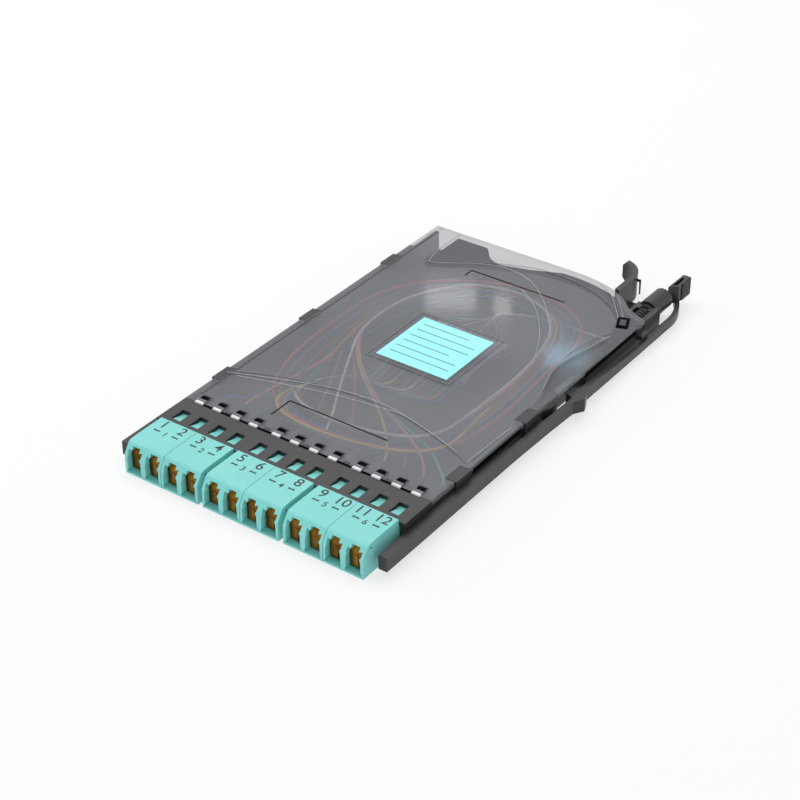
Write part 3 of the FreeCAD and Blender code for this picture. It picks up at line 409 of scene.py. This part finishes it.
def lay_pigtail(number):
    """One fibre: out of its boot, over to the lane, round once or twice, and in."""
    plug_low, plug_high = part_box(f"inner_plug_{number // 2 + 1}")
    middle = (plug_low.x + plug_high.x) / 2
    port = middle + (number % 2 - 0.5) * PORT_PITCH
    level = (LOWEST_MM + LAYER_MM * ((number * 7) % PORTS)) * MM
    tail = Vector((port, plug_high.y - 0.4 * MM, BOOT_EXIT_MM * MM))
    points = [tail, tail + Vector((0, 2.4 * MM, 0.2 * MM))]
    points += [Vector((x * MM, y * MM, level)) for x, y in FANS_MM[number]]
    first = 0.04 + 0.5 * ((number * 5) % PORTS) / (PORTS - 1)
    second = 0.3 + 0.7 * ((number * 7 + 3) % PORTS) / (PORTS - 1)
    for index in range(1, 11):
        points.append(lane_point(index, first if index < 8 else second, level))
    if number % 3 == 0:
        for index in range(11, 22):
            points.append(lane_point(index, second, level + SECOND_TURN_LIFT))
    slot = SLOT_PITCH * (MIDDLE_SLOT - number)
    across = [-22 * MM, -18 * MM, slot * 0.8 - 4 * MM, slot, slot, slot]
    points += [Vector((x, sleeves_low.y - before * MM, height * MM))
               for x, (before, height) in zip(across, RETURN_MM)]
    tone = TONES[number]
    thread = smooth_line(f"fibre_run_{number + 1:02d}", points, FIBRE_RADIUS,
                         fibre_finish[tone])
    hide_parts(f"pigtail_{number + 1:02d}")
    return len(points)


print("control points:", [lay_pigtail(number) for number in range(PORTS)])

# %% [markdown]
# ## From the splices to the outlet
# Behind the sleeves the twelve fibres draw together and slip into one white
# tube, which runs low along the rear wall to the outlet.

# %% Gathering fan and tube
SLEEVE_MM = 3.7
FLOOR_MM = 1.95
TUBE_RADIUS = 0.45 * MM
BARE_RADIUS = 0.16 * MM


def lay_outgoing():
    outlet_low, outlet_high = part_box("outlet_boot")
    exit_x = (outlet_low.x + outlet_high.x) / 2
    exit_z = (outlet_low.z + outlet_high.z) / 2
    rear = sleeves_high.y
    sleeve_z, floor_z = SLEEVE_MM * MM, FLOOR_MM * MM
    path = [(0, rear + 11 * MM, sleeve_z), (0, rear + 14 * MM, sleeve_z),
            (0.6 * MM, rear + 18 * MM, floor_z), (10 * MM, rear + 22.2 * MM, floor_z),
            (24 * MM, rear + 22.2 * MM, floor_z), (exit_x, rear + 22.4 * MM, floor_z),
            (exit_x, rear + 27 * MM, 3.4 * MM), (exit_x, outlet_low.y - 3 * MM, exit_z),
            (exit_x, outlet_low.y + 0.2 * MM, exit_z)]
    tube = smooth_line("gathering_tube", [Vector(p) for p in path], TUBE_RADIUS,
                       tube_white)
    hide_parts("trunk_fibres")
    for number, tone in enumerate(TONES):
        slot = SLOT_PITCH * (MIDDLE_SLOT - number)
        spread = (MIDDLE_SLOT - number) * 0.05 * MM
        points = [Vector((slot, rear - 1 * MM, sleeve_z)),
                  Vector((slot, rear + 3 * MM, sleeve_z)),
                  Vector((spread * 3, rear + 9 * MM, sleeve_z)),
                  Vector((spread, rear + 12 * MM, sleeve_z))]
        smooth_line(f"outgoing_fibre_{number + 1:02d}", points, BARE_RADIUS,
                    fibre_finish[tone])
    return tube


print("outgoing:", lay_outgoing().name)

# %% [markdown]
# ## Port numbers
# The numbers are pad-printed on the roofs of the port blocks, upright from the
# front: a large one for each port and a small one for each pair.  A text
# object becomes a mesh, lies flat and sits a hair above the plastic.

# %% Print the numbers
INK_DEPTH = 0.012 * MM
STROKE_SPREAD = 0.035 * MM
# Each print's height and how far behind the block's front it stands.
PORT_PRINT_MM = (4.7, 12.9)
PAIR_PRINT_MM = (2.8, 9.4)


def printed(name, words, place, size, material):
    curve = bpy.data.curves.new(name, "FONT")
    curve.body = words
    curve.size = size * MM
    curve.align_x = "CENTER"
    curve.align_y = "CENTER"
    curve.extrude = INK_DEPTH
    curve.offset = STROKE_SPREAD
    text = bpy.data.objects.new(name, curve)
    bpy.context.scene.collection.objects.link(text)
    text.location = place
    bpy.context.view_layer.update()
    depsgraph = bpy.context.evaluated_depsgraph_get()
    mesh = bpy.data.meshes.new_from_object(text.evaluated_get(depsgraph))
    mesh.transform(text.matrix_world)
    bpy.data.objects.remove(text)
    mesh.materials.clear()
    return add_piece(name, mesh, material, "cassette")


for pair, (low, high) in enumerate(port_blocks):
    middle = (low.x + high.x) / 2
    for side in (0, 1):
        number = 2 * pair + side + 1
        size, behind = PORT_PRINT_MM
        place = (middle + (side - 0.5) * PORT_PITCH, low.y + behind * MM, high.z)
        printed(f"number_{number:02d}", str(number), place, size, print_ink_and_notch_shadow)
    size, behind = PAIR_PRINT_MM
    place = (middle, low.y + behind * MM, high.z)
    printed(f"pair_number_{pair + 1}", str(pair + 1), place, size, print_ink_and_notch_shadow)
print("numbers printed:", PORTS + PAIRS)

# %% [markdown]
# ## Finger marks
# In front of each number is a small moulded notch that holds a shadow.  It is
# too small to cut, so a flat shape of painted shadow on the roof stands for it.

# %% Shade the notches
# The outline, across the port's middle and behind the block's front.
NOTCH_MM = [(-0.95, 9.3), (-0.3, 9.6), (0.5, 9.6), (1.05, 9.35), (1.05, 10.15),
            (0.4, 9.98), (-0.4, 9.98), (-0.95, 10.2)]
for pair, (low, high) in enumerate(port_blocks):
    for side in (-0.5, 0.5):
        x = (low.x + high.x) / 2 + side * PORT_PITCH
        shape = bmesh.new()
        shape.faces.new([shape.verts.new((x + u * MM, low.y + v * MM, high.z + INK_DEPTH))
                         for u, v in NOTCH_MM])
        add_piece(f"notch_{2 * pair + int(side + 1.5):02d}", mesh_of("notch", shape),
                  print_ink_and_notch_shadow, "cassette")
print("notches:", PORTS)

# %% [markdown]
# ## Seams
# The two blocks of a quad touch along a seam that runs up the face and over the
# roof.  A thread of painted shade for the narrow gap follows the block's side
# profile, mostly sunk in it.

# %% Draw the seams
SEAM_RADIUS = 0.1 * MM
# Points of the profile, behind the block's front and above the floor.
PROFILE_MM = [(0.02, 0.1), (0.02, 5.7), (2.0, 8.8), (2.9, 9.24), (5.5, 9.36),
              (15.1, 9.36)]
seam_gap_shade = finish("seam_shade", srgb(26, 74, 78), srgb(36, 90, 92), 0.6,
                   300.0, 900.0, 0.1)
for seam in (0, 2, 4):
    x = (port_blocks[seam][1].x + port_blocks[seam + 1][0].x) / 2
    curve = bpy.data.curves.new("seam", "CURVE")
    curve.dimensions = "3D"
    curve.bevel_depth = SEAM_RADIUS
    spline = curve.splines.new("POLY")
    spline.points.add(len(PROFILE_MM) - 1)
    for control, (y, z) in zip(spline.points, PROFILE_MM):
        control.co = (x, port_blocks[seam][0].y + (y + 0.08) * MM, (z - 0.06) * MM, 1)
    add_piece(f"block_seam_{seam // 2 + 1}", curve, seam_gap_shade, "cassette")
print("seams: 3")

# %% [markdown]
# ## Clip lips, slots and the parting groove
# Twelve spring clips are cut in the front edge of the cover.  Their end faces
# catch the light, so each gets a strip of painted highlight, and the slot behind
# each one is so deep that it reads as black, so it gets painted shade.  A groove
# runs between cover and shell from clip to clip, painted as shade too.  Thin
# plates on the surface stand for all of them, since only their tops are ever seen.

# %% Clip and groove trim
def thin_plate(name, low, high, material, body):
    """A small plate with a turned-down rim, between two corners."""
    shape = bmesh.new()
    x0, y0, z0 = low
    x1, y1, z1 = high
    lower = [shape.verts.new(v) for v in (
        (x0, y0, z0), (x1, y0, z0), (x1, y1, z0), (x0, y1, z0))]
    inset = min(x1 - x0, y1 - y0, z1 - z0) * 0.25
    upper = [shape.verts.new(v) for v in (
        (x0 + inset, y0 + inset, z1), (x1 - inset, y0 + inset, z1),
        (x1 - inset, y1 - inset, z1), (x0 + inset, y1 - inset, z1))]
    shape.faces.new(lower[::-1])
    shape.faces.new(upper)
    for k in range(4):
        after = (k + 1) % 4
        shape.faces.new((lower[k], lower[after], upper[after], upper[k]))
    return add_piece(name, mesh_of(name, shape), material, body)


def port_middle(number):
    low, high = port_blocks[number // 2]
    return (low.x + high.x) / 2 + (number % 2 - 0.5) * PORT_PITCH


CLIP_HALF = 1.4 * MM
SLOT_HALF = 1.3 * MM
clip_front = cover_low.y
clip_top = cover_high.z
for number in range(PORTS):
    x = port_middle(number)
    name = f"{number + 1:02d}"
    thin_plate(f"clip_lip_{name}",
               (x - CLIP_HALF, clip_front - 0.5 * MM, deck + 0.01 * MM),
               (x + CLIP_HALF, clip_front + 0.5 * MM, clip_top + 0.05 * MM),
               painted_lip_highlight, "cover")
    thin_plate(f"clip_top_{name}",
               (x - CLIP_HALF, clip_front + 0.5 * MM, clip_top - 0.05 * MM),
               (x + CLIP_HALF, clip_front + 1.6 * MM, clip_top + 0.04 * MM),
               cover_sheet, "cover")
    thin_plate(f"clip_slot_shade_{name}",
               (x - SLOT_HALF, clip_front + 1.6 * MM, clip_top - 0.02 * MM),
               (x + SLOT_HALF, clip_front + 3.1 * MM, clip_top + 0.05 * MM),
               painted_deep_shade, "cover")
    if number < PORTS - 1:
        thin_plate(f"parting_groove_shade_{name}",
                   (x + CLIP_HALF, clip_front - 0.6 * MM, deck - 0.02 * MM),
                   (port_middle(number + 1) - CLIP_HALF, clip_front + 0.3 * MM,
                    deck + 0.04 * MM), painted_deep_shade, "cassette")
print("clips trimmed:", PORTS)

# %% [markdown]
# ## The shaded channel along the right wall
# Between the cover's edge and the squeeze lever the wall carries a narrow
# channel that no light reaches.  Two thin strips of painted shade on the wall
# stand for it, above the lever's arm, so that the arm can close under them.

# %% Painted shade strips in the channel
WALL_MM = 41.3
CHANNEL_MM = (6.25, 7.85)
for name, front, rear in (("channel_shade_front", -34.0, -10.4), ("channel_shade_rear", 23.0, 52.0)):
    thin_plate(name, (WALL_MM * MM, front * MM, CHANNEL_MM[0] * MM),
               ((WALL_MM + 0.06) * MM, rear * MM, CHANNEL_MM[1] * MM),
               painted_deep_shade, "cassette")
print("channel strips: 2")

# %% [markdown]
# ## Painted bright lines on the cover
# A rounded clear rib shows as a fine bright line, sometimes beside a darker one.
# The imported ribs are square, so fine threads of painted highlight and painted
# shade are laid on the cover instead: a light and a dark one along the front bow
# and the side bow, a light one alone elsewhere.  The rear ridge and the inner
# ridge follow no packed rib: they are painted highlights that stand for low steps
# in the moulding.

# %% Rib lines
RIB_TOP = deck + 0.28 * MM


def rib_line(name, points_mm, material, radius=0.07):
    points = [Vector((x * MM, y * MM, RIB_TOP)) for x, y in points_mm]
    smooth_line(name, points, radius * MM, material, "cover")


FRONT_BOW_MM = [(-40.4, -36.6), (-24.6, -30.1), (-8.1, -24.7), (11.7, -23.6),
                (34.2, -31.4)]
SHADE_SHIFT_MM = 0.45
rib_line("front_bow_highlight", FRONT_BOW_MM, painted_rib_highlight)
rib_line("front_bow_shade", [(x, y - SHADE_SHIFT_MM) for x, y in FRONT_BOW_MM],
         painted_rib_shade)
rib_line("front_bow_inner", [(-36.8, -36.3), (-23, -32.1), (-6.2, -27.2), (12.7, -25.1)],
         painted_rib_highlight, 0.06)
rib_line("side_bow_highlight", [(37.6, 42.5), (35.6, 32.3), (33.2, 22.3), (34.4, 14.2),
                            (36.9, 7.3)], painted_rib_highlight)
rib_line("side_bow_shade", [(38.4, 40.4), (36.8, 31.6), (34.4, 21.6), (35.2, 14.8),
                           (37.7, 7.8)], painted_rib_shade)
rib_line("rear_ridge", [(-33.1, 64.5), (-31.3, 48), (-28, 48.9), (-16.3, 56.9),
                        (-7.9, 59.4), (2.8, 56.6), (12.2, 48), (17.9, 40.8),
                        (23.9, 32.4)], painted_rib_highlight, 0.06)
rib_line("inner_ridge", [(2.4, 50.6), (9.5, 46), (15.7, 39.2), (22.8, 28.5),
                         (27.5, 16.7)], painted_rib_highlight, 0.06)
rib_line("rim_outer", [(26.2, 63.2), (32.4, 56), (34.5, 52.7)], painted_rib_highlight)
rib_line("rim_inner", [(27.6, 64.2), (33.6, 56.9), (35.4, 54.2)], painted_rib_highlight, 0.06)
rib_line("edge_line", [(39.2, -33.7), (39.9, -13.2)], painted_rib_highlight)
print("rib lines: 10")

# %% [markdown]
# ## The snap at the rear
# The square snap stands in a hole of the cover.  The hole's walls are in
# shadow, so a ring of painted shadow lies round the lit post in the middle.  Both
# ride on the tray, so they stay behind when the cover lifts.

# %% Snap post
def prism(name, corners, low, high, material, body):
    """An upright block on an outline in millimetres."""
    shape = bmesh.new()
    rings = [[shape.verts.new((x * MM, y * MM, z)) for x, y in corners]
             for z in (low, high)]
    shape.faces.new(rings[0][::-1])
    shape.faces.new(rings[1])
    for k in range(len(corners)):
        after = (k + 1) % len(corners)
        shape.faces.new((rings[0][k], rings[0][after], rings[1][after], rings[1][k]))
    bmesh.ops.recalc_face_normals(shape, faces=shape.faces)
    return add_piece(name, mesh_of(name, shape), material, body)


SNAP_MM = [(34.2, 53.6), (36.4, 48.2), (39.6, 49.4), (37.4, 54.8)]
snap_centre = [sum(corner[k] for corner in SNAP_MM) / len(SNAP_MM) for k in (0, 1)]


def snap_outline(share):
    """The snap's outline, shrunk to a share of its size about its centre."""
    return [tuple(snap_centre[k] + (corner[k] - snap_centre[k]) * share for k in (0, 1))
            for corner in SNAP_MM]


prism("snap_shadow_ring", snap_outline(0.98), deck - 0.2 * MM, deck + 0.31 * MM, painted_deep_shade,
      "cassette")
prism("snap_post", snap_outline(0.56), deck, deck + 0.34 * MM, holder, "cassette")
print("snap post:", len(SNAP_MM), "corners")

# %% [markdown]
# ## Raised plates and the ruled label
# The cover has two shallow raised plates with nothing on them, one in front and
# one at the rear.  Only their outlines show: painted shade on the rear and left
# sides, clear plastic on the front and right.
# The label is a plain card with ruled lines for writing on.

# %% Plates and rules
LINE_WIDTH = 0.32 * MM
PAINTED_SHADE_TOP = deck + 0.16 * MM
PALE_TOP = deck + 0.05 * MM


def plate_outline(name, x0, x1, y0, y1):
    width = LINE_WIDTH
    sides = {"rear": ((x0, y1 - width), (x1, y1)), "left": ((x0, y0), (x0 + width, y1)),
             "front": ((x0, y0), (x1, y0 + width)), "right": ((x1 - width, y0), (x1, y1))}
    for side, ((ax, ay), (bx, by)) in sides.items():
        # Rear and left sides are painted shade, the others clear plastic.
        dark = side in ("rear", "left")
        thin_plate(f"{name}_{side}", (ax, ay, deck - 0.02 * MM),
                   (bx, by, PAINTED_SHADE_TOP if dark else PALE_TOP),
                   painted_deep_shade if dark else cover_sheet, "cover")


plate_outline("front_plate", -17.0 * MM, 16.2 * MM, -45.7 * MM, -37.3 * MM)
plate_outline("rear_plate", -16.6 * MM, 16.7 * MM, 47.8 * MM, 51.9 * MM)
RULE_COUNT = 6
RULE_PITCH_MM = 3.4
for k in range(RULE_COUNT):
    y = label_high.y - (RULE_PITCH_MM + RULE_PITCH_MM * k) * MM
    right = label_high.x - (2.2 if k % 3 else 6.5) * MM
    thin_plate(f"label_rule_{k + 1}",
               (label_low.x + 2.0 * MM, y, label_high.z - 0.01 * MM),
               (right, y + 0.28 * MM, label_high.z + 0.02 * MM), ink,
               "cover")
print("label rules:", RULE_COUNT)

# %% [markdown]
# ## The camera
# The camera looks down on the part from the front right, as from a table's
# edge, with a long lens so that the far end stays nearly as wide as the near one.

# %% Camera
AIM = Vector((3.80, -14.36, 4.50)) * MM
DISTANCE = 536.2 * MM
AZIMUTH = math.radians(35.57)
ELEVATION = math.radians(33.48)
LENS = 86.48
FILM_WIDTH = 36.0
back = Vector((math.sin(AZIMUTH) * math.cos(ELEVATION),
               -math.cos(AZIMUTH) * math.cos(ELEVATION),
               math.sin(ELEVATION)))
camera_data = bpy.data.cameras.new("camera")
camera_data.lens = LENS
camera_data.sensor_width = FILM_WIDTH
camera_data.clip_start = 0.01
camera = bpy.data.objects.new("camera", camera_data)
camera.location = AIM + back * DISTANCE
camera.rotation_mode = "QUATERNION"
camera.rotation_quaternion = (-back).to_track_quat("-Z", "Y")
bpy.context.scene.collection.objects.link(camera)
bpy.context.scene.camera = camera
bpy.context.scene.view_settings.view_transform = "Standard"
print("camera at", [round(v, 3) for v in camera.location])

# %% [markdown]
# ## The floor
# The floor is a pale diffuse sheet that camera, mirror and transmission rays
# see a little brighter than it is lit, so it stays white and still keeps the
# soft shadow under the part.

# %% Floor
def looked_at(tree):
    """One for the rays that look at the backdrop, nought for those that light."""
    path = tree.nodes.new("ShaderNodeLightPath")
    total = path.outputs["Is Camera Ray"]
    for kind in ("Is Glossy Ray", "Is Transmission Ray"):
        either = tree.nodes.new("ShaderNodeMath")
        either.operation = "MAXIMUM"
        tree.links.new(total, either.inputs[0])
        tree.links.new(path.outputs[kind], either.inputs[1])
        total = either.outputs[0]
    return total


def backdrop_material(name, colour, seen):
    """A diffuse sheet, mixed with a plain white glow for the rays that look at it."""
    material = bpy.data.materials.new(name)
    material.use_nodes = True
    tree = material.node_tree
    tree.nodes.clear()
    output = tree.nodes.new("ShaderNodeOutputMaterial")
    diffuse = tree.nodes.new("ShaderNodeBsdfDiffuse")
    diffuse.inputs["Color"].default_value = colour
    glow = tree.nodes.new("ShaderNodeEmission")
    glow.inputs["Strength"].default_value = 1.0
    share = tree.nodes.new("ShaderNodeMath")
    share.operation = "MULTIPLY"
    share.inputs[1].default_value = seen
    tree.links.new(looked_at(tree), share.inputs[0])
    mix = tree.nodes.new("ShaderNodeMixShader")
    tree.links.new(share.outputs[0], mix.inputs["Fac"])
    tree.links.new(diffuse.outputs[0], mix.inputs[1])
    tree.links.new(glow.outputs[0], mix.inputs[2])
    tree.links.new(mix.outputs[0], output.inputs["Surface"])
    return material


FLOOR_HALF = 3.0
FLOOR_GAP = 0.05 * MM
FLOOR_COLOUR = (0.97, 0.97, 0.97, 1)
FLOOR_GLOW = 0.66


def add_floor():
    shape = bmesh.new()
    bmesh.ops.create_grid(shape, x_segments=2, y_segments=2, size=FLOOR_HALF)
    mesh = mesh_of("floor", shape)
    floor = bpy.data.objects.new("floor", mesh)
    floor.location.z = solid_box[0].z - FLOOR_GAP
    mesh.materials.append(backdrop_material("floor_sheet", FLOOR_COLOUR, FLOOR_GLOW))
    bpy.context.scene.collection.objects.link(floor)
    return floor


print("laid:", add_floor().name)

# %% [markdown]
# ## Lamps
# Three large soft boxes light the part: one overhead, one in front and one
# strip on the left.  Three small cards light almost nothing.  They hang where
# the polished cover mirrors them to the camera, as panes of a window would.

# %% Soft boxes and mirrored cards
def soft_lamp(name, place, size, watts, target=(0, 0, 0)):
    data = bpy.data.lights.new(name, "AREA")
    data.shape = "RECTANGLE"
    data.size, data.size_y = size
    data.energy = watts
    lamp = bpy.data.objects.new(name, data)
    lamp.location = place
    lamp.rotation_mode = "QUATERNION"
    lamp.rotation_quaternion = (Vector(target) - Vector(place)).to_track_quat("-Z", "Y")
    bpy.context.scene.collection.objects.link(lamp)
    return lamp


CARD_REACH = 2.0


def window_card(name, seen_at, size, radiance, colour=(1, 1, 1)):
    """A small lamp that a level mirror at seen_at would show to the camera.

    Its power is its radiance times pi times its area, so it lights almost
    nothing and is only seen mirrored in the cover."""
    spot = Vector(seen_at)
    ray = spot - camera.location
    ray.z = -ray.z
    watts = radiance * math.pi * size[0] * size[1]
    lamp = soft_lamp(name, spot + ray * CARD_REACH, size, watts, spot)
    lamp.data.color = colour


window_card("window_left", (-0.0125, 0.0345, 0.009), (0.045, 0.02), 5.5)
window_card("window_round", (0.0025, 0.0395, 0.009), (0.015, 0.015), 7.0,
            (1, 0.93, 0.86))
window_card("window_blue", (0.0329, 0.0266, 0.009), (0.036, 0.013), 9.0,
            (0.4, 0.75, 1.0))
soft_lamp("overhead_box", (-0.25, 0.25, 0.9), (0.9, 0.9), 4.6)
soft_lamp("front_fill", (0.5, -0.9, 0.6), (0.7, 0.5), 2.6)
soft_lamp("left_strip", (-0.9, -0.1, 0.5), (0.4, 0.8), 1.6)
print("lamps: 3 soft boxes, 3 cards")

# %% [markdown]
# ## The sky of the studio
# A plain white world fills the shadows at half strength.  Rays that look at it
# see it at full white, so the backdrop stays white past the floor's edge.

# %% World
WORLD_LIGHT = 0.5
WORLD_SEEN = 1.0
world = bpy.data.worlds.new("studio")
world.use_nodes = True
world_tree = world.node_tree
background = world_tree.nodes["Background"]
background.inputs["Color"].default_value = (1, 1, 1, 1)
strength = world_tree.nodes.new("ShaderNodeMapRange")
strength.inputs["To Min"].default_value = WORLD_LIGHT
strength.inputs["To Max"].default_value = WORLD_SEEN
world_tree.links.new(looked_at(world_tree), strength.inputs["Value"])
world_tree.links.new(strength.outputs["Result"], background.inputs["Strength"])
bpy.context.scene.world = world
print("studio ready")
